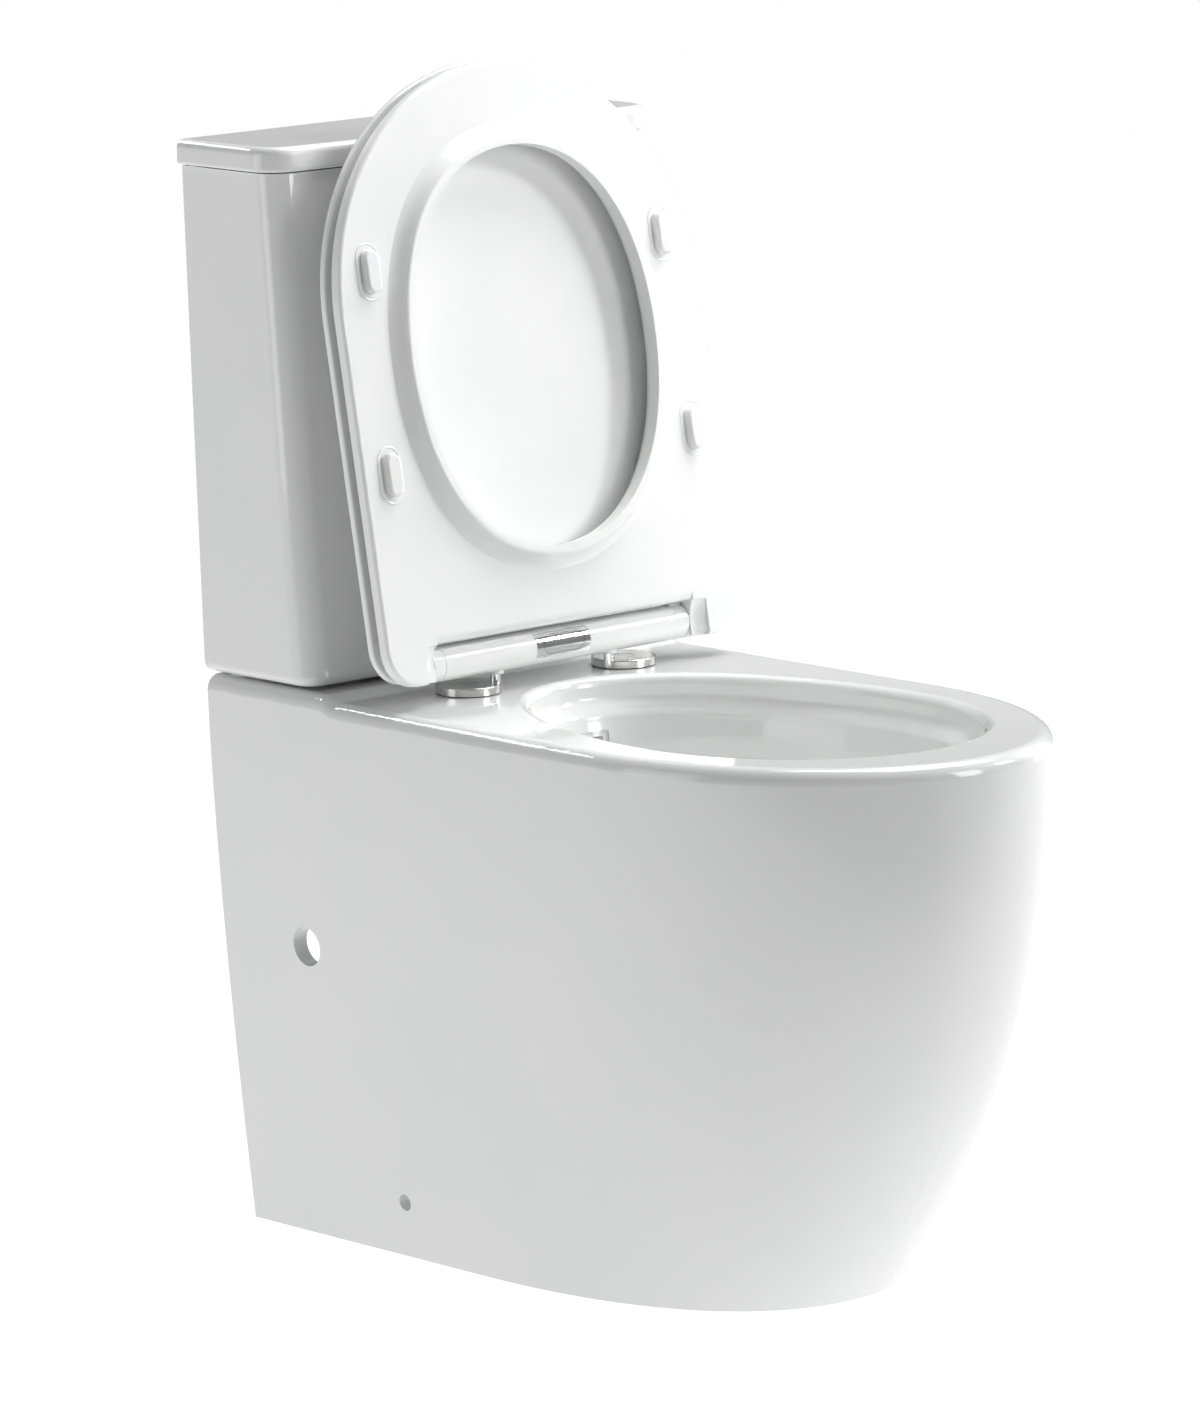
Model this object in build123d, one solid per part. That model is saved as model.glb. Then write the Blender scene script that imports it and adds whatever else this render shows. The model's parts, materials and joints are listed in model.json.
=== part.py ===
from build123d import *
import math
import os

# A close coupled toilet: pan, cistern and lid in glazed ceramic, and a slim soft-close seat
# and cover on a quick-release hinge barrel.  Millimetres.  While it is drawn, the wall plane is
# y = 0, the floor is z = 0, and the front of the pan points to -Y.  At the end every piece moves
# by DEPTH / 2 along Y, so that the origin is the middle of the footprint.

# overall
DEPTH = 648.0
RIM_Z = 418.0            # deck and rim of the pan
PLATFORM_Z = 422.5       # raised platform under the cistern
STEP_REAR = -127.0       # the step from platform to deck runs between these two
STEP_FRONT = -147.0

# pan outline, at the rim and at the floor
TOP_HALF_REAR, FLOOR_HALF_REAR = 177.2, 143.2
TOP_BULGE = 3.8          # how much wider the pan is at its widest than at the wall
TOP_WIDEST_Y, FLOOR_WIDEST_Y = -419.0, -262.0
FLOOR_FRONT_Y = -504.0
TOP_FULLNESS, FLOOR_FULLNESS = 0.545, 0.63
SIDE_POWER, FRONT_POWER = 1.45, 2.5
PAN_WALL = 13.0
DECK_UNDERSIDE = 396.0

# bowl and trap
BOWL_REAR_Y, BOWL_FRONT_Y, BOWL_WIDEST_Y = -205.0, -587.0, -436.0
BOWL_HALF = 137.0
BAND_Z = 388.0           # foot of the upright band under the rim
BOWL_WALL = 11.0
TRAP_BORE, TRAP_WALL = 31.0, 9.0
OUTLET_Z, OUTLET_R, OUTLET_END_Y = 180.0, 51.0, -22.0
INLET_Z = 362.0          # flush channel from the cistern to the bowl

# holes in the skirt
ACCESS_Y, ACCESS_Z, ACCESS_R = -95.0, 227.5, 15.0
FIXING_Y, FIXING_Z, FIXING_R = -177.5, 42.5, 6.25

# cistern
TANK_Z0, TANK_Z1 = 425.5, 805.5
TANK_HALF0, TANK_HALF1 = 179.0, 188.5
TANK_DEPTH0, TANK_DEPTH1 = 118.0, 102.0
TANK_BOW = 5.0
TANK_CORNER = 20.0
TANK_WALL = 9.0
LID_Z0, LID_Z1 = 806.5, 825.0
LID_HALF, LID_DEPTH, LID_CORNER = 193.0, 105.5, 26.0

# inside the cistern
VALVE_Y = -56.0
LEVER_Z = 717.0
FILL_X = -105.0
BOLT_X = 68.0
DRAIN_R = 30.5
BUTTON_R = 19.5
FLOAT_LINK_X = FILL_X - 34.0
FLOAT_PIVOT_X = FILL_X - 8.0
FLOAT_PIVOT_Z = 729.0

# seat and cover, in the closed pose: u runs forward from the hinge axis, w runs up from it
AXIS_Y, AXIS_Z = -188.0, 445.0
OPEN_ANGLE = 100.0
SEAT_W0, SEAT_W1 = -20.3, -10.9
COVER_W0, COVER_W1 = -5.7, 1.0
SEAT_HALF, SEAT_STRAIGHT, SEAT_TIP = 178.0, 258.0, 433.5
COVER_HALF, COVER_TIP = 179.5, 435.5
SEAT_REAR, COVER_REAR = -13.0, -10.4
SEAT_CORNER = 28.0
SEAT_FULLNESS = 0.56
HOLE_U, HOLE_LENGTH, HOLE_HALF, HOLE_FULLNESS = 221.5, 149.0, 118.5, 0.61
LIP_W = -30.3
BUMPER_TIP_W = -26.7
BUMPER_PLACES = [(152.0, 142.5), (146.0, 291.0)]

# hinge barrel
BARREL_R, BARREL_BORE, BARREL_HALF = 13.4, 10.9, 117.0
RING_X0, RING_X1 = 117.3, 128.7
EAR_X0, EAR_X1 = 129.3, 139.2
SHAFT_R, SHAFT_GAP = 4.0, 0.06
PUCK_X, PUCK_Y, PUCK_R, PUCK_H, GASKET_H = 78.5, -181.5, 24.5, 6.0, 0.8
POST_X, POST_R = 57.5, 4.0
RELEASE_TILT = 12.0
RISING = (Align.CENTER, Align.CENTER, Align.MIN)


# ---------------------------------------------------------------- helpers
def at(x, y, z, shape):
    return Pos(x, y, z) * shape


def cylinder(x, y, z0, z1, r):
    return at(x, y, (z0 + z1) / 2, Cylinder(r, z1 - z0))


def tube(x, y, z0, z1, r, bore):
    return cylinder(x, y, z0, z1, r) - cylinder(x, y, z0 - 1, z1 + 1, bore)


def box(x0, x1, y0, y1, z0, z1):
    return at((x0 + x1) / 2, (y0 + y1) / 2, (z0 + z1) / 2, Box(x1 - x0, y1 - y0, z1 - z0))


def hexagon(x, y, z0, z1, r):
    return at(x, y, z0, prism(RegularPolygon(r, 6), z1 - z0))


def x_cylinder(x0, x1, y, z, r):
    return at((x0 + x1) / 2, y, z, Rot(0, 90, 0) * Cylinder(r, abs(x1 - x0)))


def y_cylinder(x, y0, y1, z, r):
    return at(x, (y0 + y1) / 2, z, Rot(90, 0, 0) * Cylinder(r, abs(y1 - y0)))


def mix(a, b, t):
    return a + (b - a) * t


def prism(face, height):
    return extrude(face, height, dir=(0, 0, 1))


def group(*shapes):
    solids = [solid for shape in shapes for solid in shape.solids()]
    return Compound(children=solids)


def rounded(shape, edges, radius):
    try:
        return fillet(edges, radius)
    except Exception as error:
        print("fillet left out:", error)
        return shape


def d_wire(half_rear, half_widest, rear_y, widest_y, front_y, fullness):
    """Straight back, slightly bulging sides, and a front made of two quarter curves."""
    reach = front_y - widest_y
    control_y = rear_y + (widest_y - rear_y) * 0.34
    right = Bezier((half_rear, rear_y), (half_widest, control_y), (half_widest, widest_y))
    front_right = Bezier(
        (half_widest, widest_y), (half_widest, widest_y + fullness * reach),
        (half_widest * fullness, front_y), (0, front_y))
    front_left = Bezier(
        (0, front_y), (-half_widest * fullness, front_y),
        (-half_widest, widest_y + fullness * reach), (-half_widest, widest_y))
    left = Bezier((-half_widest, widest_y), (-half_widest, control_y), (-half_rear, rear_y))
    back = Line((-half_rear, rear_y), (half_rear, rear_y))
    return Wire([right, front_right, front_left, left, back])


def egg_wire(half, rear_y, front_y, widest_y, fullness):
    """A closed oval made of four quarter curves, widest at widest_y."""
    curves = []
    for side, end_y, start in ((1, rear_y, True), (1, front_y, False), (-1, front_y, True), (-1, rear_y, False)):
        reach = end_y - widest_y
        points = [
            (0, end_y), (side * half * fullness, end_y),
            (side * half, widest_y + fullness * reach), (side * half, widest_y)]
        curves.append(Bezier(*(points if start else points[::-1])))
    return Wire(curves)


def pan_section(z, inset, rear_y=0.0):
    t = min(z / RIM_Z, 1.0)
    half_rear = TOP_HALF_REAR - (TOP_HALF_REAR - FLOOR_HALF_REAR) * (1 - t) ** SIDE_POWER - inset
    front_y = -DEPTH - (FLOOR_FRONT_Y * -1 - DEPTH) * (1 - t) ** FRONT_POWER + inset
    widest_y = mix(FLOOR_WIDEST_Y, TOP_WIDEST_Y, t)
    fullness = mix(FLOOR_FULLNESS, TOP_FULLNESS, t)
    return Face(d_wire(half_rear, half_rear + TOP_BULGE * t, rear_y, widest_y, front_y, fullness)).moved(
        Location((0, 0, z)))


# ---------------------------------------------------------------- pan
def deck_cutter():
    """Everything above the deck, with the soft step up to the platform."""
    with BuildSketch(Plane.YZ) as profile:
        with BuildLine():
            Polyline((50, 600), (50, PLATFORM_Z), (STEP_REAR, PLATFORM_Z))
            middle = (STEP_REAR + STEP_FRONT) / 2
            Bezier((STEP_REAR, PLATFORM_Z), (middle, PLATFORM_Z), (middle, RIM_Z), (STEP_FRONT, RIM_Z))
            Polyline((STEP_FRONT, RIM_Z), (-DEPTH - 60, RIM_Z), (-DEPTH - 60, 600), (50, 600))
        make_face()
    return extrude(profile.sketch, 300, both=True)


def bowl_core(grow):
    """The hollow of the bowl, or its outer shape when grown by the wall."""
    band_half = BOWL_HALF + grow
    top = PLATFORM_Z + 5 if grow == 0 else DECK_UNDERSIDE + 4
    upper = [
        Face(egg_wire(band_half, BOWL_REAR_Y + grow, BOWL_FRONT_Y - grow, BOWL_WIDEST_Y, TOP_FULLNESS)).moved(
            Location((0, 0, z))) for z in (BAND_Z - (grow and 2), top)]
    shape = loft(upper, ruled=True)
    levels = [
        (BAND_Z, 127.0, -214.0, -578.0, -432.0),
        (345.0, 117.0, -222.0, -565.0, -420.0),
        (295.0, 99.0, -232.0, -535.0, -400.0),
        (245.0, 75.0, -244.0, -484.0, -372.0),
        (205.0, 54.0, -255.0, -425.0, -345.0),
        (175.0, 38.0, -265.0, -375.0, -322.0)]
    lower = [
        Face(egg_wire(half + grow, rear + grow, front - grow, widest, 0.56)).moved(
            Location((0, 0, z - grow * (z < 200)))) for z, half, rear, front, widest in levels]
    return shape + loft(lower)


def trap_run(radius):
    """The trap as straight runs joined by balls, from the sump over the weir to the outlet."""
    points = [
        Vector(0, -322, 200), Vector(0, -316, 112), Vector(0, -240, 104), Vector(0, -186, 220),
        Vector(0, -126, OUTLET_Z), Vector(0, -60, OUTLET_Z)]
    shape = None
    for start, end in zip(points, points[1:]):
        run = Plane(origin=start, z_dir=end - start) * Cylinder(radius, (end - start).length, align=RISING)
        shape = run if shape is None else shape + run + at(start.X, start.Y, start.Z, Sphere(radius))
    return shape


def pan():
    levels = [0, 50, 110, 180, 260, 340, RIM_Z, PLATFORM_Z + 12]
    body = loft([pan_section(z, 0) for z in levels]) - deck_cutter()
    top_edges = [
        edge for edge in body.edges()
        if edge.center().Z > RIM_Z - 2 and edge.center().Y < -1 and abs(edge.center().X) > 100]
    body = rounded(body, top_edges, 11.0)
    inside = bowl_core(BOWL_WALL) + trap_run(TRAP_BORE + TRAP_WALL)
    inside += y_cylinder(0, -130, OUTLET_END_Y, OUTLET_Z, OUTLET_R)
    inside += cylinder(0, VALVE_Y, INLET_Z - 24, DECK_UNDERSIDE + 4, DRAIN_R + 6.5)
    inside += box(-30, 30, -222, VALVE_Y, INLET_Z - 22, INLET_Z + 24)
    hollow = loft([pan_section(z, PAN_WALL, 12.0) for z in (-2, 60, 130, 210, 300, DECK_UNDERSIDE)])
    shell = body - (hollow - inside)
    # passages
    shell -= bowl_core(0)
    shell -= box(-21, 21, -236, VALVE_Y, INLET_Z - 12, INLET_Z + 14)
    shell -= cylinder(0, VALVE_Y, INLET_Z - 12, PLATFORM_Z + 10, DRAIN_R)
    shell -= y_cylinder(0, -112, 20, OUTLET_Z, OUTLET_R - 9)
    shell -= trap_run(TRAP_BORE)
    # seat of the cistern gasket, and holes for the cistern bolts, the water inlet and the hinge bolts
    shell -= cylinder(0, VALVE_Y, 410, PLATFORM_Z + 10, 51)
    shell -= cylinder(FILL_X, VALVE_Y, 370, 440, 22)
    for side in (-1, 1):
        shell -= cylinder(side * BOLT_X, VALVE_Y, 370, 440, 6.5)
        shell -= cylinder(side * PUCK_X, PUCK_Y, 370, 440, 7.0)
        x0, x1 = sorted((side * 120, side * 220))
        shell -= x_cylinder(x0, x1, ACCESS_Y, ACCESS_Z, ACCESS_R)
        shell -= x_cylinder(x0, x1, FIXING_Y, FIXING_Z, FIXING_R)
    mouth = [
        edge for edge in shell.edges()
        if abs(edge.center().Z - RIM_Z) < 0.05 and edge.geom_type != GeomType.LINE
        and edge.center().Y < -210 and abs(edge.center().X) < 136]
    return rounded(shell, mouth, 7.0)


# ---------------------------------------------------------------- cistern
def tank_face(half, depth, z, corner, inset=0.0, rear=0.0):
    side = half - inset
    front = -(depth - inset)
    rear -= inset
    outline = Wire([
        Line((side, rear), (side, front)),
        ThreePointArc((side, front), (0, front - TANK_BOW), (-side, front)),
        Line((-side, front), (-side, rear)),
        Line((-side, rear), (side, rear))])
    face = Face(outline)
    corners = [vertex for vertex in face.vertices() if vertex.Y < front + 1]
    return face.fillet_2d(max(corner - inset, 4), corners).moved(Location((0, 0, z)))


def tank_loft(z0, z1, inset, rear=0.0):
    faces = []
    for z in (z0, z1):
        t = (z - TANK_Z0) / (TANK_Z1 - TANK_Z0)
        faces.append(tank_face(
            mix(TANK_HALF0, TANK_HALF1, t), mix(TANK_DEPTH0, TANK_DEPTH1, t), z, TANK_CORNER, inset, rear))
    return loft(faces, ruled=True)


def cistern():
    body = tank_loft(TANK_Z0, TANK_Z1, 0, 5) - box(-300, 300, 0, 30, TANK_Z0 - 5, TANK_Z1 + 5)
    bottom = [edge for edge in body.edges().filter_by_position(Axis.Z, TANK_Z0 - 1, TANK_Z0 + 1)
              if edge.center().Y < -1]
    body = rounded(body, bottom, 8.0)
    body -= tank_loft(TANK_Z0 + 10, TANK_Z1 + 1, TANK_WALL)
    body -= cylinder(0, VALVE_Y, 420, 440, 29.5)
    body -= cylinder(FILL_X, VALVE_Y, 420, 440, 10.8)
    for side in (-1, 1):
        body -= cylinder(side * BOLT_X, VALVE_Y, 420, 440, 5.5)
    return body


def cistern_lid():
    face = tank_face(LID_HALF, LID_DEPTH, LID_Z0, LID_CORNER)
    body = prism(face, LID_Z1 - LID_Z0)
    top = [edge for edge in body.edges().filter_by_position(Axis.Z, LID_Z1 - 1, LID_Z1 + 1)
           if edge.center().Y < -1]
    body = rounded(body, top, 6.0)
    bottom = [edge for edge in body.edges().filter_by_position(Axis.Z, LID_Z0 - 1, LID_Z0 + 1)
              if edge.center().Y < -1]
    body = rounded(body, bottom, 3.0)
    # locating rim that drops inside the tank
    rim_outer = tank_face(TANK_HALF1, TANK_DEPTH1, LID_Z0 - 8, TANK_CORNER, TANK_WALL + 3)
    rim_inner = tank_face(TANK_HALF1, TANK_DEPTH1, LID_Z0 - 9, TANK_CORNER, TANK_WALL + 9)
    body += prism(rim_outer, 9)
    body -= prism(rim_inner, 12)
    return body - cylinder(0, VALVE_Y, 790, 840, 21.5)


def wing_nut(x, y, z1):
    """Hub with two wings, its top face at z1."""
    shape = cylinder(x, y, z1 - 9, z1, 7.5) + box(x - 1.5, x + 1.5, y - 15, y + 15, z1 - 13, z1 - 1.5)
    return shape - cylinder(x, y, z1 - 20, z1 + 1, 4.0)


def build_cistern_fixings():
    """Bolts through cistern floor and deck, one on each side of the drain."""
    floor = TANK_Z0 + 10
    nut_top = DECK_UNDERSIDE - 1.5
    bolts, rubbers, washers, nuts = [], [], [], []
    for x in (-BOLT_X, BOLT_X):
        bolts.append(cylinder(x, VALVE_Y, 366, floor + 4, 4) + hexagon(x, VALVE_Y, floor + 4, floor + 9, 7.5))
        rubbers.append(tube(x, VALVE_Y, floor, floor + 4, 12, 4))
        washers.append(tube(x, VALVE_Y, nut_top, DECK_UNDERSIDE, 12, 4.2))
        nuts.append(wing_nut(x, VALVE_Y, nut_top))
    return group(*bolts), group(*rubbers), group(*washers), group(*nuts)


# ---------------------------------------------------------------- flush valve
def flush_valve_body():
    shape = tube(0, VALVE_Y, 398, 442, 28.5, 24)
    shape += tube(0, VALVE_Y, 438.5, 442, 36, 24)
    shape += tube(0, VALVE_Y, 442, 445.7, 27, 24)
    for k in range(4):
        angle = math.radians(45 + 90 * k)
        shape += cylinder(33 * math.cos(angle), VALVE_Y + 33 * math.sin(angle), 441, 701, 2.6)
    head = cylinder(0, VALVE_Y, 700, 706, 35) - cylinder(0, VALVE_Y, 699, 707, 15)
    head -= box(10, 24, VALVE_Y - 6, VALVE_Y + 6, 699, 707)
    shape += head
    for side in (-1, 1):
        y = VALVE_Y + side * 16
        cheek = box(-4.5, 4.5, y - 1.5, y + 1.5, 704, LEVER_Z + 4.5)
        shape += cheek - y_cylinder(0, y - 3, y + 3, LEVER_Z, 1.5)
    return shape


def overflow_tube():
    shape = tube(0, VALVE_Y, 449, 690, 13, 11)
    shape += tube(0, VALVE_Y, 449, 453, 28, 11)
    # the hook that the lever lifts
    shape += box(12, 21.5, VALVE_Y - 4, VALVE_Y + 4, 684, 688)
    shape += box(19, 21.5, VALVE_Y - 4, VALVE_Y + 4, 684, LEVER_Z + 5)
    shape += box(12, 21.5, VALVE_Y - 4, VALVE_Y + 4, LEVER_Z + 2.8, LEVER_Z + 5)
    return shape


def flush_lever():
    shape = box(-17, 17, VALVE_Y - 8, VALVE_Y + 8, LEVER_Z - 1.5, LEVER_Z + 1.5)
    shape += y_cylinder(0, VALVE_Y - 13, VALVE_Y + 13, LEVER_Z, 3.2)
    return shape - y_cylinder(0, VALVE_Y - 20, VALVE_Y + 20, LEVER_Z, 1.55)


def half_disc(y0, y1):
    """Part of the round button between two lines across it."""
    disc = cylinder(0, VALVE_Y, 816, 828, BUTTON_R)
    piece = disc & box(-30, 30, VALVE_Y + y0, VALVE_Y + y1, 810, 840)
    top = piece.edges().filter_by_position(Axis.Z, 827.9, 828.1)
    return rounded(piece, top, 1.0)


def full_flush_button():
    shape = half_disc(-30, 6.2)
    shape += cylinder(-14, VALVE_Y, 727, 817, 3)
    return shape + cylinder(-14, VALVE_Y, LEVER_Z + 2.0, 728, 1.2)


def half_flush_button():
    return half_disc(6.8, 30) + cylinder(-6, VALVE_Y + 13, 733, 817, 2.5)


def button_bezel():
    shape = tube(0, VALVE_Y, 825, 827.5, 25, 20)
    shape = rounded(shape, shape.edges().filter_by_position(Axis.Z, 827.4, 827.6), 0.8)
    return shape + tube(0, VALVE_Y, 796, 825.5, 21.2, 20)


# ---------------------------------------------------------------- fill valve
def fill_valve_body():
    shape = tube(FILL_X, VALVE_Y, 388, 412, 10.4, 7) + tube(FILL_X, VALVE_Y, 411, 442, 10, 7)
    shape += tube(FILL_X, VALVE_Y, 438.5, 443, 17, 7)
    return shape + tube(FILL_X, VALVE_Y, 441, 700, 9, 6)


def fill_valve_head():
    shape = cylinder(FILL_X, VALVE_Y, 700, 722, 18)
    shape = rounded(shape, shape.edges().filter_by_position(Axis.Z, 721, 723), 3)
    for side in (-1, 1):
        y = VALVE_Y + side * 8
        cheek = box(FLOAT_PIVOT_X - 4, FLOAT_PIVOT_X + 4, y - 1.5, y + 1.5, 720, FLOAT_PIVOT_Z + 4)
        shape += cheek - y_cylinder(FLOAT_PIVOT_X, y - 3, y + 3, FLOAT_PIVOT_Z, 1.5)
    return shape


def float_cup():
    shape = tube(FILL_X, VALVE_Y, 610, 678, 23, 9.6)
    shape += box(FLOAT_LINK_X - 3, FILL_X - 20, VALVE_Y - 4, VALVE_Y + 4, 674, 678)
    return shape + cylinder(FLOAT_LINK_X, VALVE_Y, 677, FLOAT_PIVOT_Z - 2.1, 1.5)


def float_lever():
    shape = box(FLOAT_LINK_X - 4, FLOAT_PIVOT_X, VALVE_Y - 5, VALVE_Y + 5, FLOAT_PIVOT_Z - 1.5, FLOAT_PIVOT_Z + 1.5)
    shape += y_cylinder(FLOAT_PIVOT_X, VALVE_Y - 6, VALVE_Y + 6, FLOAT_PIVOT_Z, 3.2)
    return shape - y_cylinder(FLOAT_PIVOT_X, VALVE_Y - 20, VALVE_Y + 20, FLOAT_PIVOT_Z, 1.55)


# ---------------------------------------------------------------- seat and cover, closed pose
def slab(u0, u1, w0, w1, x0, x1):
    return box(x0, x1, AXIS_Y - u1, AXIS_Y - u0, AXIS_Z + w0, AXIS_Z + w1)


def seat_plate(half, tip, rear, w0, w1):
    face = Face(d_wire(half, half, AXIS_Y - rear, AXIS_Y - SEAT_STRAIGHT, AXIS_Y - tip, SEAT_FULLNESS))
    corners = [vertex for vertex in face.vertices() if vertex.Y > AXIS_Y - rear - 1]
    face = face.fillet_2d(SEAT_CORNER, corners)
    return prism(face.moved(Location((0, 0, AXIS_Z + w0))), w1 - w0)


def hole_face(grow, w):
    centre = AXIS_Y - HOLE_U
    wire = egg_wire(HOLE_HALF + grow, centre + HOLE_LENGTH + grow, centre - HOLE_LENGTH - grow, centre, HOLE_FULLNESS)
    return Face(wire).moved(Location((0, 0, AXIS_Z + w)))


def edges_at(shape, w):
    return shape.edges().filter_by_position(Axis.Z, AXIS_Z + w - 0.01, AXIS_Z + w + 0.01)


def seat():
    plate = seat_plate(SEAT_HALF, SEAT_TIP, SEAT_REAR, SEAT_W0, SEAT_W1)
    plate = rounded(plate, edges_at(plate, SEAT_W0), 3.0)
    plate = rounded(plate, edges_at(plate, SEAT_W1), 1.5)
    funnel = loft([hole_face(26, SEAT_W0 + 1), hole_face(13, SEAT_W0 - 2.5), hole_face(8, LIP_W + 2)])
    lip = prism(hole_face(8, LIP_W), 6)
    lip = rounded(lip, edges_at(lip, LIP_W), 3.5)
    plate += funnel + lip
    mouth = loft([hole_face(0, LIP_W - 1), hole_face(0, SEAT_W0 + 1)], ruled=True)
    mouth += loft([hole_face(0, SEAT_W0 + 0.5), hole_face(2.5, SEAT_W0 + 6), hole_face(9, SEAT_W1 + 0.1)])
    plate -= mouth
    # room for the barrel and the cover's rings, then the two ears
    plate -= slab(-20, 15, -40, 20, -EAR_X0, EAR_X0)
    notch_edge = [edge for edge in edges_at(plate, SEAT_W0) if abs(edge.center().Y - (AXIS_Y - 15)) < 0.1]
    plate = rounded(plate, notch_edge, 7.0)
    for side in (-1, 1):
        x0, x1 = sorted((side * EAR_X0, side * EAR_X1))
        xe = side * (EAR_X1 + 3)
        plate -= slab(-20, 15, -40, 20, *sorted((side * EAR_X0, xe)))
        ear = x_cylinder(x0, x1, AXIS_Y, AXIS_Z, BARREL_R - 0.1)
        ear += slab(0, 19, -13.3, -6.4, x0, x1)
        ear += slab(-12, 19, -13.3, -11.0, *sorted((side * EAR_X0, side * (EAR_X1 + 4))))
        plate += ear
    for side in (-1, 1):
        gap = SHAFT_GAP if side < 0 else 0.0
        plate -= x_cylinder(side * (EAR_X0 - 1), side * (EAR_X1 - 1.2), AXIS_Y, AXIS_Z, SHAFT_R + gap)
    return plate


def seat_bumpers():
    pads = []
    for x, u in BUMPER_PLACES:
        for side in (-1, 1):
            outline = SlotOverall(32, 14, rotation=90)
            pad = prism(at(side * x, AXIS_Y - u, AXIS_Z + BUMPER_TIP_W, outline), SEAT_W0 - BUMPER_TIP_W)
            pads.append(rounded(pad, edges_at(pad, BUMPER_TIP_W), 2.5))
    return group(*pads)


def seat_cover():
    plate = seat_plate(COVER_HALF, COVER_TIP, COVER_REAR, COVER_W0, COVER_W1)
    plate = rounded(plate, edges_at(plate, COVER_W1), 2.8)
    plate = rounded(plate, edges_at(plate, COVER_W0), 1.5)
    limit = x_cylinder(-250, 250, AXIS_Y, AXIS_Z, 10.5) + slab(0, 500, -30, 30, -250, 250)
    plate &= limit
    plate -= slab(-20, 14, -30, 30, -EAR_X1 - 0.6, EAR_X1 + 0.6)
    for side in (-1, 1):
        x0, x1 = sorted((side * RING_X0, side * RING_X1))
        ring = x_cylinder(x0, x1, AXIS_Y, AXIS_Z, BARREL_R - 0.1) + slab(0, 20, COVER_W0, COVER_W1, x0, x1)
        gap = SHAFT_GAP if side > 0 else 0.0
        ring -= x_cylinder(x0 - 1, x1 + 1, AXIS_Y, AXIS_Z, SHAFT_R + gap)
        plate += ring
    return plate


def cover_bumpers():
    pads = []
    for x, u in ((148, 95), (112, 372)):
        for side in (-1, 1):
            pads.append(cylinder(side * x, AXIS_Y - u, AXIS_Z + SEAT_W1 + 0.4, AXIS_Z + COVER_W0, 7))
    return group(*pads)


def raised(shape):
    """Turn a piece from the closed pose to the raised pose about the hinge axis."""
    hinge = Pos(0, AXIS_Y, AXIS_Z)
    return hinge * Rot(-OPEN_ANGLE, 0, 0) * hinge.inverse() * shape


# ---------------------------------------------------------------- hinge
def release_sector(r0, r1, half, opening):
    """A curved plate on the front of the barrel, with a pill-shaped opening."""
    plate = x_cylinder(-half, half, 0, 0, r1) - x_cylinder(-half - 1, half + 1, 0, 0, r0)
    plate &= box(-half, half, -30, -8, -9.4, 9.4)
    if opening:
        pill = extrude(Plane.XZ * SlotOverall(*opening), 30)
        plate -= pill
    return Pos(0, AXIS_Y, AXIS_Z) * Rot(-RELEASE_TILT, 0, 0) * plate


def hinge_barrel():
    shape = x_cylinder(-BARREL_HALF, BARREL_HALF, AXIS_Y, AXIS_Z, BARREL_R)
    shape -= x_cylinder(-BARREL_HALF - 1, BARREL_HALF + 1, AXIS_Y, AXIS_Z, BARREL_BORE)
    shape -= release_sector(7, 16, 27, None)
    for side in (-1, 1):
        shape -= cylinder(side * POST_X, AXIS_Y, AXIS_Z - 20, AXIS_Z, 6.5)
    return shape


def release_button():
    pill = extrude(Plane.XZ * SlotOverall(40.4, 13.4), 30)
    body = pill & (x_cylinder(-25, 25, 0, 0, BARREL_R) & box(-30, 30, -30, -6, -20, 20))
    return Pos(0, AXIS_Y, AXIS_Z) * Rot(-RELEASE_TILT, 0, 0) * body


def damper(side):
    x0, x1 = side * 66, side * (BARREL_HALF - 1)
    shape = x_cylinder(x0, x1, AXIS_Y, AXIS_Z, BARREL_BORE)
    return shape - x_cylinder(side * 84, side * BARREL_HALF, AXIS_Y, AXIS_Z, SHAFT_R + SHAFT_GAP)


def damper_shaft(side):
    return x_cylinder(side * 85, side * (EAR_X1 - 1.5), AXIS_Y, AXIS_Z, SHAFT_R)


def build_hinge_fixings():
    base_z = RIM_Z + GASKET_H
    top_z = base_z + PUCK_H
    pieces = {name: [] for name in ("hinge_bases", "hinge_base_gaskets", "hinge_posts", "hinge_collars",
                                    "hinge_bolts", "hinge_nuts")}
    for side in (-1, 1):
        x, post = side * PUCK_X, side * POST_X
        puck = cylinder(x, PUCK_Y, base_z, top_z, PUCK_R)
        puck = rounded(puck, puck.edges().filter_by_position(Axis.Z, top_z - 0.01, top_z + 0.01), 1.0)
        puck -= cylinder(x, PUCK_Y, base_z - 1, top_z + 1, 4) + cylinder(x, PUCK_Y, top_z - 3, top_z + 1, 7.5)
        puck -= cylinder(post, AXIS_Y, base_z + 2, top_z + 1, POST_R)
        pieces["hinge_bases"].append(puck)
        pieces["hinge_base_gaskets"].append(tube(x, PUCK_Y, RIM_Z, base_z, PUCK_R - 0.4, 7))
        pieces["hinge_posts"].append(cylinder(post, AXIS_Y, base_z + 2, AXIS_Z - 3, POST_R))
        pieces["hinge_collars"].append(
            tube(post, AXIS_Y, AXIS_Z - BARREL_R - 1.2, AXIS_Z - BARREL_R + 3, 6.5, POST_R))
        pieces["hinge_bolts"].append(
            cylinder(x, PUCK_Y, 368, top_z - 3, 4) + cylinder(x, PUCK_Y, top_z - 3, top_z - 0.2, 7))
        pieces["hinge_nuts"].append(tube(x, PUCK_Y, 376, DECK_UNDERSIDE, 13, 4))
    return {name: group(*shapes) for name, shapes in pieces.items()}


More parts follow.
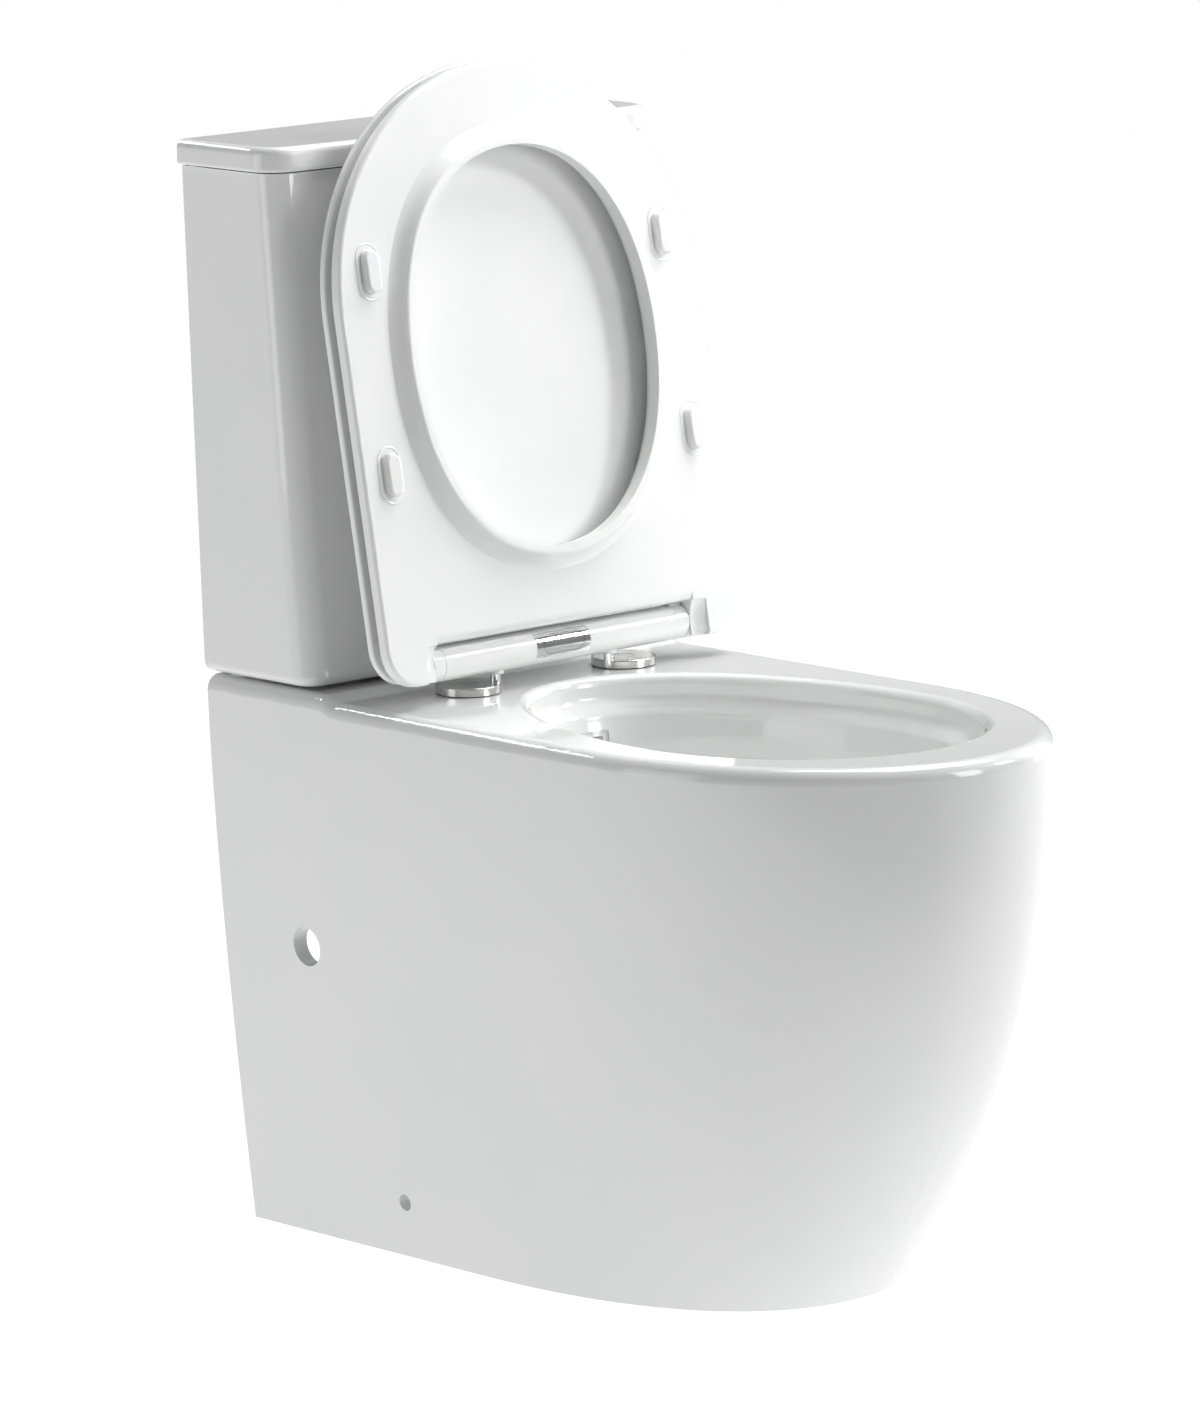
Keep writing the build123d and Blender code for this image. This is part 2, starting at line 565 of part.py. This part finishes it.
# ---------------------------------------------------------------- all pieces
def all_pieces():
    pieces = {"pan": pan(), "cistern": cistern(), "cistern_lid": cistern_lid()}
    bolts, rubbers, washers, nuts = build_cistern_fixings()
    pieces["cistern_bolts"] = bolts
    pieces["cistern_bolt_rubbers"] = rubbers
    pieces["cistern_bolt_washers"] = washers
    pieces["cistern_wing_nuts"] = nuts
    pieces["cistern_gasket"] = tube(0, VALVE_Y, 410, TANK_Z0, 50, 39)
    floor = TANK_Z0 + 10
    pieces["flush_valve_body"] = flush_valve_body()
    pieces["flush_valve_washer"] = tube(0, VALVE_Y, floor, floor + 3, 36, 28.5)
    pieces["flush_valve_nut"] = hexagon(0, VALVE_Y, 414, TANK_Z0, 38) - cylinder(0, VALVE_Y, 400, 430, 28.5)
    pieces["overflow_tube"] = overflow_tube()
    pieces["flush_seal"] = tube(0, VALVE_Y, 446, 449, 30, 11)
    pieces["flush_lever"] = flush_lever()
    pieces["flush_lever_pin"] = y_cylinder(0, VALVE_Y - 18, VALVE_Y + 18, LEVER_Z, 1.5)
    pieces["fill_valve_body"] = fill_valve_body()
    pieces["fill_valve_washer"] = tube(FILL_X, VALVE_Y, floor, floor + 3, 16, 10)
    pieces["fill_valve_nut"] = hexagon(FILL_X, VALVE_Y, 415, TANK_Z0, 16) - cylinder(FILL_X, VALVE_Y, 400, 430, 10)
    pieces["fill_valve_head"] = fill_valve_head()
    pieces["float_cup"] = float_cup()
    pieces["float_lever"] = float_lever()
    pieces["float_lever_pin"] = y_cylinder(FLOAT_PIVOT_X, VALVE_Y - 10, VALVE_Y + 10, FLOAT_PIVOT_Z, 1.5)
    pieces["button_bezel"] = button_bezel()
    pieces["button_nut"] = tube(0, VALVE_Y, 798.5, LID_Z0, 30, 21.2)
    pieces["full_flush_button"] = full_flush_button()
    pieces["half_flush_button"] = half_flush_button()
    pieces["seat"] = raised(seat())
    pieces["seat_bumpers"] = raised(seat_bumpers())
    pieces["seat_cover"] = raised(seat_cover())
    pieces["cover_bumpers"] = raised(cover_bumpers())
    pieces["hinge_barrel"] = hinge_barrel()
    pieces["release_bezel"] = release_sector(10.9, 13.6, 26.9, (41.2, 14.2))
    pieces["release_button"] = release_button()
    pieces["cover_damper"] = damper(-1)
    pieces["seat_damper"] = damper(1)
    pieces["cover_damper_shaft"] = damper_shaft(-1)
    pieces["seat_damper_shaft"] = damper_shaft(1)
    pieces.update(build_hinge_fixings())
    return pieces


os.makedirs("parts", exist_ok=True)
for name, shape in all_pieces().items():
    export_step(Pos(0, DEPTH / 2, 0) * shape, f"parts/{name}.step")
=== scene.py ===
import json
import math

import bmesh
import bpy
from mathutils import Matrix, Vector


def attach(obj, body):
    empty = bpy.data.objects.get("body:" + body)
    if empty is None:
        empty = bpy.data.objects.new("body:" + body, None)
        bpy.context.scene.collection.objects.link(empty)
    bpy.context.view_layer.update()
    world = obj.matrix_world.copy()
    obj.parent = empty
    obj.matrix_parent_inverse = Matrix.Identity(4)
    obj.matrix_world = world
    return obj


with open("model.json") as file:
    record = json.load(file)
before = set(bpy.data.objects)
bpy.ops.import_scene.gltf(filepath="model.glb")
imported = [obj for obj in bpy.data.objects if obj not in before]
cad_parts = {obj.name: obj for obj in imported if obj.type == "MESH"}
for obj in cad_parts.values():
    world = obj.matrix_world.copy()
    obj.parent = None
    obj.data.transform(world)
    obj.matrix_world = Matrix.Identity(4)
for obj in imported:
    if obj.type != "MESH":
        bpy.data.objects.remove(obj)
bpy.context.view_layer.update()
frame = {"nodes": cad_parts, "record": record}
scene = bpy.context.scene
scene.view_settings.view_transform = "Standard"

# ---------------------------------------------------------------- camera
CAMERA_PLACE = Vector((-3.9195, -4.1315, 1.4759))
CAMERA_AZIMUTH, CAMERA_ELEVATION, CAMERA_ROLL = -42.91, 10.57, -0.98
CAMERA_LENS = 200.98
SENSOR_WIDTH, CLIP_END = 36, 60


def add_camera():
    """A camera far away with a long lens, a little above the seat."""
    azimuth = math.radians(CAMERA_AZIMUTH)
    elevation = math.radians(CAMERA_ELEVATION)
    roll = math.radians(CAMERA_ROLL)
    ahead = math.cos(elevation)
    look = Vector((-math.sin(azimuth) * ahead, math.cos(azimuth) * ahead, -math.sin(elevation)))
    right = Vector((math.cos(azimuth), math.sin(azimuth), 0))
    up = right.cross(look)
    right, up = (
        right * math.cos(roll) + up * math.sin(roll), up * math.cos(roll) - right * math.sin(roll))
    data = bpy.data.cameras.new("camera")
    data.lens = CAMERA_LENS
    data.sensor_width = SENSOR_WIDTH
    data.clip_end = CLIP_END
    camera = bpy.data.objects.new("camera", data)
    turn = Matrix((right, up, -look)).transposed().to_4x4()
    camera.matrix_world = Matrix.Translation(CAMERA_PLACE) @ turn
    scene.collection.objects.link(camera)
    scene.camera = camera


add_camera()


# ---------------------------------------------------------------- materials
RAMP_LOW, RAMP_HIGH = 0.35, 0.65
NOISE_LOW, NOISE_HIGH = 0.3, 0.7
PLASTIC_NOISE, PLASTIC_BUMP_NOISE = 12, 70
METAL_NOISE, METAL_BUMP_NOISE = 45, 900
GLAZE_NOISE, GLAZE_BUMP_NOISE = 6, 22


def new_material(name, colour, roughness, **sockets):
    """A material with its plain values set on the shader's own sockets."""
    material = bpy.data.materials.new(name)
    material.use_nodes = True
    shader = material.node_tree.nodes["Principled BSDF"]
    shader.inputs["Base Color"].default_value = (*colour, 1)
    shader.inputs["Roughness"].default_value = roughness
    for socket, value in sockets.items():
        shader.inputs[socket.replace("_", " ")].default_value = value
    return material


def vary(material, scale, colours, roughness_range, bump, bump_scale):
    """Noise in colour and roughness, and in height when bump (metres) isn't zero."""
    nodes, links = material.node_tree.nodes, material.node_tree.links
    shader = nodes["Principled BSDF"]
    place = nodes.new("ShaderNodeTexCoord")
    noise = nodes.new("ShaderNodeTexNoise")
    noise.inputs["Scale"].default_value = scale
    noise.inputs["Detail"].default_value = 4
    links.new(place.outputs["Object"], noise.inputs["Vector"])
    ramp = nodes.new("ShaderNodeValToRGB")
    ramp.color_ramp.elements[0].position = RAMP_LOW
    ramp.color_ramp.elements[1].position = RAMP_HIGH
    ramp.color_ramp.elements[0].color = (*colours[0], 1)
    ramp.color_ramp.elements[1].color = (*colours[1], 1)
    links.new(noise.outputs["Fac"], ramp.inputs["Fac"])
    links.new(ramp.outputs["Color"], shader.inputs["Base Color"])
    spread = nodes.new("ShaderNodeMapRange")
    spread.inputs["From Min"].default_value = NOISE_LOW
    spread.inputs["From Max"].default_value = NOISE_HIGH
    spread.inputs["To Min"].default_value = roughness_range[0]
    spread.inputs["To Max"].default_value = roughness_range[1]
    links.new(noise.outputs["Fac"], spread.inputs["Value"])
    links.new(spread.outputs["Result"], shader.inputs["Roughness"])
    if bump:
        waves = nodes.new("ShaderNodeTexNoise")
        waves.inputs["Scale"].default_value = bump_scale
        waves.inputs["Detail"].default_value = 2
        links.new(place.outputs["Object"], waves.inputs["Vector"])
        height = nodes.new("ShaderNodeBump")
        height.inputs["Strength"].default_value = 1.0
        height.inputs["Distance"].default_value = bump
        links.new(waves.outputs["Fac"], height.inputs["Height"])
        links.new(height.outputs["Normal"], shader.inputs["Normal"])
    return material


def plastic(name, low, high, roughness, bump=0.00002, **sockets):
    material = new_material(name, high, roughness[0], **sockets)
    return vary(material, PLASTIC_NOISE, (low, high), roughness, bump, PLASTIC_BUMP_NOISE)


def metal(name, low, high, roughness, bump=0.0):
    material = new_material(name, high, roughness[0], Metallic=1.0)
    return vary(material, METAL_NOISE, (low, high), roughness, bump, METAL_BUMP_NOISE)


glaze = vary(
    new_material("glaze", (0.80, 0.805, 0.80), 0.06, Coat_Weight=0.4, Coat_Roughness=0.03),
    GLAZE_NOISE, ((0.785, 0.795, 0.79), (0.81, 0.815, 0.81)), (0.05, 0.09), 0.00008, GLAZE_BUMP_NOISE)
seat_plastic = plastic("seat_plastic", (0.875, 0.88, 0.88), (0.90, 0.905, 0.90), (0.12, 0.17))
SLOTS = {
    "glaze": glaze,
    "seat_plastic": seat_plastic,
    "bumper": plastic("bumper", (0.82, 0.83, 0.83), (0.86, 0.87, 0.87), (0.28, 0.36), Subsurface_Weight=0.15,
                      Subsurface_Scale=0.003),
    "collar_plastic": plastic("collar_plastic", (0.84, 0.85, 0.85), (0.88, 0.88, 0.88), (0.2, 0.28)),
    "chrome": metal("chrome", (0.88, 0.88, 0.89), (0.94, 0.94, 0.95), (0.08, 0.14)),
    "steel": metal("steel", (0.58, 0.575, 0.57), (0.68, 0.675, 0.67), (0.14, 0.3), 0.000012),
    "zinc": metal("zinc", (0.5, 0.51, 0.52), (0.6, 0.61, 0.62), (0.3, 0.45), 0.00002),
    "pin_steel": metal("pin_steel", (0.52, 0.52, 0.53), (0.62, 0.62, 0.63), (0.2, 0.32)),
    "black_rubber": plastic("black_rubber", (0.016, 0.016, 0.016), (0.03, 0.03, 0.03), (0.55, 0.75), 0.00005),
    "red_rubber": plastic("red_rubber", (0.42, 0.05, 0.04), (0.5, 0.07, 0.055), (0.5, 0.7), 0.00005),
    "valve_plastic": plastic("valve_plastic", (0.78, 0.78, 0.75), (0.83, 0.83, 0.81), (0.3, 0.42)),
    "blue_plastic": plastic("blue_plastic", (0.07, 0.22, 0.48), (0.1, 0.27, 0.55), (0.28, 0.4)),
    "damper_plastic": plastic("damper_plastic", (0.19, 0.19, 0.21), (0.24, 0.24, 0.26), (0.35, 0.5))}

for row in frame["record"]["subparts"]:
    node = frame["nodes"][row["node"]]
    node.data.materials.clear()
    node.data.materials.append(SLOTS[row["material_slot"]])


# ---------------------------------------------------------------- added pieces
MM = 0.001

# the raised seat, in mm: its hinge axis, its face, and its bumpers at (x, u)
AXIS_Y, AXIS_Z = 136.0, 445.0
OPEN_ANGLE = math.radians(100)
SEAT_FACE = -20.3
SHARP_ANGLE = math.radians(32)
BUMPERS = ((152.0, 142.5), (146.0, 291.0))
BUMPER_RING = (10.6, 20.6)
RING_WIDTH, RING_HEIGHT, RING_STEPS = 0.9, 0.55, 10

# the hinge ear, in mm: from a round like the barrel's to the rear edge of the seat plate
EAR_NEAR, EAR_FAR, EAR_ROWS = 129.7, 150.5, 26
EAR_STRAIGHT, EAR_FRONT, EAR_RISE = 2, 26, 7.0
BARREL_RADIUS = 13.35
PLATE_BACK, PLATE_FACE, PLATE_INSIDE, PLATE_ROUND = -13.03, -20.35, -11.8, 3
BACK_EDGE_TOP, BACK_EDGE_HEIGHT = -10.9, 6.4
ARC_STEPS, FACE_STEPS = 14, 18


def raised(x, u, w):
    """A point of the closed seat, u forward and w up from the hinge axis, raised and in metres."""
    c, s = math.cos(OPEN_ANGLE), math.sin(OPEN_ANGLE)
    return (x * MM, (AXIS_Y - u * c + w * s) * MM, (AXIS_Z + u * s + w * c) * MM)


def add_piece(name, points, faces, body, slot):
    """A smooth mesh in one of the materials that rides on a body."""
    mesh = bpy.data.meshes.new(name)
    mesh.from_pydata(points, [], faces)
    mesh.validate()
    tidy = bmesh.new()
    tidy.from_mesh(mesh)
    bmesh.ops.recalc_face_normals(tidy, faces=tidy.faces)
    tidy.to_mesh(mesh)
    tidy.free()
    mesh.polygons.foreach_set("use_smooth", [True] * len(mesh.polygons))
    mesh.set_sharp_from_angle(angle=SHARP_ANGLE)
    mesh.materials.append(SLOTS[slot])
    piece = bpy.data.objects.new(name, mesh)
    scene.collection.objects.link(piece)
    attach(piece, body)


def ring_faces(rows, columns):
    """Quads between rows of points, where each row closes on itself."""
    faces = []
    for i in range(rows - 1):
        for j in range(columns):
            k = (j + 1) % columns
            faces.append((i * columns + j, i * columns + k, (i + 1) * columns + k, (i + 1) * columns + j))
    return faces


def pill(half_width, half_length, steps=24):
    """Points round a pill that is long along u, with their outward directions."""
    points = []
    reach = half_length - half_width
    for side in (1, -1):
        for i in range(steps + 1):
            angle = math.pi * i / steps + (0 if side > 0 else math.pi)
            dx, du = math.cos(angle), math.sin(angle)
            points.append((dx * half_width, du * half_width + side * reach, dx, du))
    return points


def add_bumper_rings():
    """The thin raised outline round each bumper of the seat."""
    outline = pill(*BUMPER_RING)
    count = len(outline)
    for index, (x, u) in enumerate(BUMPERS):
        for side, word in ((-1, "left"), (1, "right")):
            points = []
            for px, pu, dx, du in outline:
                for k in range(RING_STEPS):
                    angle = 2 * math.pi * k / RING_STEPS
                    out = RING_WIDTH * math.cos(angle)
                    height = RING_HEIGHT * math.sin(angle)
                    points.append(raised(side * x + px + dx * out, u + pu + du * out, SEAT_FACE - height))
            faces = ring_faces(count, RING_STEPS)
            last = (count - 1) * RING_STEPS
            for k in range(RING_STEPS):
                after = (k + 1) % RING_STEPS
                faces.append((last + k, last + after, after, k))
            add_piece(f"bumper_ring_{index}_{word}", points, faces, "seat", "seat_plastic")


def smooth(t):
    """0 to 1 with a gentle start and end."""
    t = min(max(t, 0.0), 1.0)
    return t * t * (3 - 2 * t)


def ear_section(flow):
    """Outline of the ear across the axis: the barrel at flow 0, the edge of the seat plate at flow 1."""
    barrel, plate = [], []
    straight = ARC_STEPS // 2
    corner_u, corner_w = PLATE_BACK + PLATE_ROUND, PLATE_FACE + PLATE_ROUND
    for k in range(ARC_STEPS + 1):
        angle = math.pi / 2 * k / ARC_STEPS
        barrel.append((-BARREL_RADIUS * math.cos(angle), -BARREL_RADIUS * math.sin(angle)))
        if k < straight:
            plate.append((PLATE_BACK, BACK_EDGE_TOP - BACK_EDGE_HEIGHT * k / straight))
        else:
            turn = math.pi / 2 * (k - straight) / (ARC_STEPS - straight)
            plate.append((corner_u - PLATE_ROUND * math.cos(turn), corner_w - PLATE_ROUND * math.sin(turn)))
    for k in range(1, FACE_STEPS + 1):
        t = k / FACE_STEPS
        barrel.append((EAR_FRONT * t, -BARREL_RADIUS - EAR_RISE * smooth(t)))
        plate.append((corner_u + (EAR_FRONT - corner_u) * t, PLATE_FACE))
    barrel += [(EAR_FRONT, PLATE_INSIDE), (-5, -4)]
    plate += [(EAR_FRONT, PLATE_INSIDE), (-10, PLATE_INSIDE)]
    return [(a[0] + (b[0] - a[0]) * flow, a[1] + (b[1] - a[1]) * flow) for a, b in zip(barrel, plate)]


def add_ear_blends():
    """The hinge ears of the seat: each flows from the round of the barrel into the flat of the seat."""
    width = EAR_FAR - EAR_NEAR
    for side, word in ((-1, "left"), (1, "right")):
        points = []
        for i in range(EAR_ROWS):
            x = EAR_NEAR + width * i / (EAR_ROWS - 1)
            section = ear_section(smooth((x - EAR_NEAR - EAR_STRAIGHT) / (width - EAR_STRAIGHT)))
            points += [raised(side * x, u, w) for u, w in section]
        columns = len(section)
        first = tuple(range(columns))
        last = tuple(range((EAR_ROWS - 1) * columns, EAR_ROWS * columns))
        faces = ring_faces(EAR_ROWS, columns) + [first, last[::-1]]
        add_piece(f"seat_ear_{word}", points, faces, "seat", "seat_plastic")


# bowl outline, in mm from the wall: height, half width, rear end, front end and the widest place
BOWL_LEVELS = [
    (411.2, 137.0, -205.0, -587.0, -436.0), (404.0, 137.0, -205.0, -587.0, -436.0),
    (388.0, 127.0, -214.0, -578.0, -432.0), (345.0, 117.0, -222.0, -565.0, -420.0),
    (295.0, 99.0, -232.0, -535.0, -400.0)]
WALL_TO_MODEL = 324.0
LEDGE = 388.0
RIM_FULLNESS, BOWL_FULLNESS, FULLNESS_CHANGE = 0.545, 0.555, 395
RIM_INSET, BAND_INSET, RIM_FOOT = 0.12, 0.35, 408
SKIN_LIFT_TOP, SKIN_LIFT_HEIGHT, SKIN_LIFT = 386, 12, 1.0
SKIN_SINK_TOP, SKIN_SINK_HEIGHT, SKIN_SINK = 366, 44, 2.6
SLOT_HALF, SLOT_TOP, SLOT_FRONT = 0.026, 0.382, 0.05
BOWL_STEPS = 40
SKIN_HEIGHTS = [411.2, 409, 406, 404] + [404 - 16 * k / 14 for k in range(1, 15)]
SKIN_HEIGHTS += [385, 380, 374, 366, 356, 345, 334, 322]


def quarter(shape, end, t):
    """A point of the quarter curve from the end of the oval (t = 0) to its side (t = 1)."""
    half, widest, fullness = shape
    reach = end - widest
    b = ((1 - t) ** 3, 3 * (1 - t) ** 2 * t, 3 * (1 - t) * t ** 2, t ** 3)
    x = b[1] * half * fullness + b[2] * half + b[3] * half
    y = b[0] * end + b[1] * end + b[2] * (widest + fullness * reach) + b[3] * widest
    return x, y


def bowl_level(z):
    """The bowl's outline at a height: half width, rear end, front end and the widest place."""
    for upper, lower in zip(BOWL_LEVELS, BOWL_LEVELS[1:]):
        if z >= lower[0]:
            t = (upper[0] - z) / (upper[0] - lower[0])
            ease = smooth(t) if lower[0] == LEDGE else t
            return [a + (b - a) * ease for a, b in zip(upper[1:], lower[1:])]
    return list(BOWL_LEVELS[-1][1:])


def add_bowl_skin():
    """The glaze that rounds the upright band under the rim into the bowl, left open at the flush slot."""
    points, faces = [], []
    for z in SKIN_HEIGHTS:
        half, rear, front, widest = bowl_level(z)
        fullness = RIM_FULLNESS if z > FULLNESS_CHANGE else BOWL_FULLNESS
        lift = SKIN_LIFT * smooth((SKIN_LIFT_TOP - z) / SKIN_LIFT_HEIGHT)
        sink = SKIN_SINK * smooth((SKIN_SINK_TOP - z) / SKIN_SINK_HEIGHT)
        inset = RIM_INSET if z > RIM_FOOT else BAND_INSET + lift - sink
        shape = (half - inset, widest, fullness)
        back, tip = rear - inset, front + inset
        for sign, end, backwards in ((1, back, False), (1, tip, True), (-1, tip, False), (-1, back, True)):
            for k in range(BOWL_STEPS):
                t = k / BOWL_STEPS
                x, y = quarter(shape, end, 1 - t if backwards else t)
                points.append((sign * x * MM, (y + WALL_TO_MODEL) * MM, z * MM))
    for face in ring_faces(len(SKIN_HEIGHTS), 4 * BOWL_STEPS):
        corners = [points[v] for v in face]
        if not all(abs(x) < SLOT_HALF and z < SLOT_TOP and y > SLOT_FRONT for x, y, z in corners):
            faces.append(face)
    add_piece("bowl_glaze", points, faces, "toilet", "glaze")


add_bumper_rings()
add_ear_blends()
add_bowl_skin()


# ---------------------------------------------------------------- studio
WHITE = (1, 1, 1, 1)
ROOM_GLOW = 0.2
GRID_SPREAD = math.radians(32)
FRONT = (-0.35, -0.94, 0)
FLOOR_HALF, FLOOR_LEVEL = 14.0, -0.0005
FLOOR_GREY, FLOOR_ROUGHNESS = (0.15, 0.15, 0.15), 0.7
FLOOR_GLOW, FLOOR_FAR_GLOW = 0.95, 0.15
FALL_START, FALL_END = 0.55, 1.4


def add_light(name, place, target, size, power):
    """A rectangular soft box at a place, turned to a target."""
    data = bpy.data.lights.new(name, "AREA")
    data.shape = "RECTANGLE"
    data.size, data.size_y = size
    data.energy = power
    light = bpy.data.objects.new(name, data)
    light.location = place
    light.rotation_euler = (Vector(target) - Vector(place)).to_track_quat("-Z", "Y").to_euler()
    scene.collection.objects.link(light)
    return light


add_light("left_box", (-2.5, 0.7, 1.0), (0, 0, 0.45), (1.2, 1.8), 10)
add_light("right_box", (2.4, -0.1, 1.0), (0, -0.1, 0.45), (1.2, 1.8), 9)
add_light("front_right_box", (1.0, -2.45, 1.2), (0, -0.1, 0.5), (0.8, 1.4), 20)
add_light("top_box", (1.0, 0.1, 2.55), (0, 0, 0.45), (1.4, 1.4), 60)
add_light("back_strip", (-0.5, 2.4, 2.5), (0, 0, 0.45), (1.3, 0.3), 10)
grid = add_light("seat_grid", (2.2, -1.4, 1.9), (0, 0.1, 0.72), (0.6, 0.6), 1.5)
grid.data.spread = GRID_SPREAD

# the camera sees a plain white studio, and the object is lit by a dimmer one
world = bpy.data.worlds.new("studio")
scene.world = world
world.use_nodes = True
tree = world.node_tree
path = tree.nodes.new("ShaderNodeLightPath")
seen = tree.nodes.new("ShaderNodeMixShader")
white = tree.nodes.new("ShaderNodeBackground")
white.inputs["Strength"].default_value = 1.0
white.inputs["Color"].default_value = WHITE
dim = tree.nodes["Background"]
dim.inputs["Color"].default_value = WHITE
dim.inputs["Strength"].default_value = ROOM_GLOW
tree.links.new(path.outputs["Is Camera Ray"], seen.inputs["Fac"])
tree.links.new(dim.outputs["Background"], seen.inputs[1])
tree.links.new(white.outputs["Background"], seen.inputs[2])
tree.links.new(seen.outputs["Shader"], tree.nodes["World Output"].inputs["Surface"])


def add_floor():
    """A pale sweep with a painted glow: its emission is brightest round the object and falls off far in front
    of it.
    """
    mesh = bpy.data.meshes.new("floor")
    corners = ((-1, -1), (1, -1), (1, 1), (-1, 1))
    mesh.from_pydata([(x * FLOOR_HALF, y * FLOOR_HALF, FLOOR_LEVEL) for x, y in corners], [], [(0, 1, 2, 3)])
    floor = bpy.data.objects.new("floor", mesh)
    scene.collection.objects.link(floor)
    material = new_material("floor", FLOOR_GREY, FLOOR_ROUGHNESS, Emission_Color=WHITE)
    nodes, links = material.node_tree.nodes, material.node_tree.links
    place = nodes.new("ShaderNodeTexCoord")
    along = nodes.new("ShaderNodeVectorMath")
    along.operation = "DOT_PRODUCT"
    along.inputs[1].default_value = FRONT
    fall = nodes.new("ShaderNodeMapRange")
    fall.interpolation_type = "SMOOTHSTEP"
    fall.inputs["From Min"].default_value = FALL_START
    fall.inputs["From Max"].default_value = FALL_END
    fall.inputs["To Min"].default_value = FLOOR_GLOW
    fall.inputs["To Max"].default_value = FLOOR_FAR_GLOW
    links.new(place.outputs["Object"], along.inputs[0])
    links.new(along.outputs["Value"], fall.inputs["Value"])
    links.new(fall.outputs["Result"], nodes["Principled BSDF"].inputs["Emission Strength"])
    mesh.materials.append(material)


add_floor()
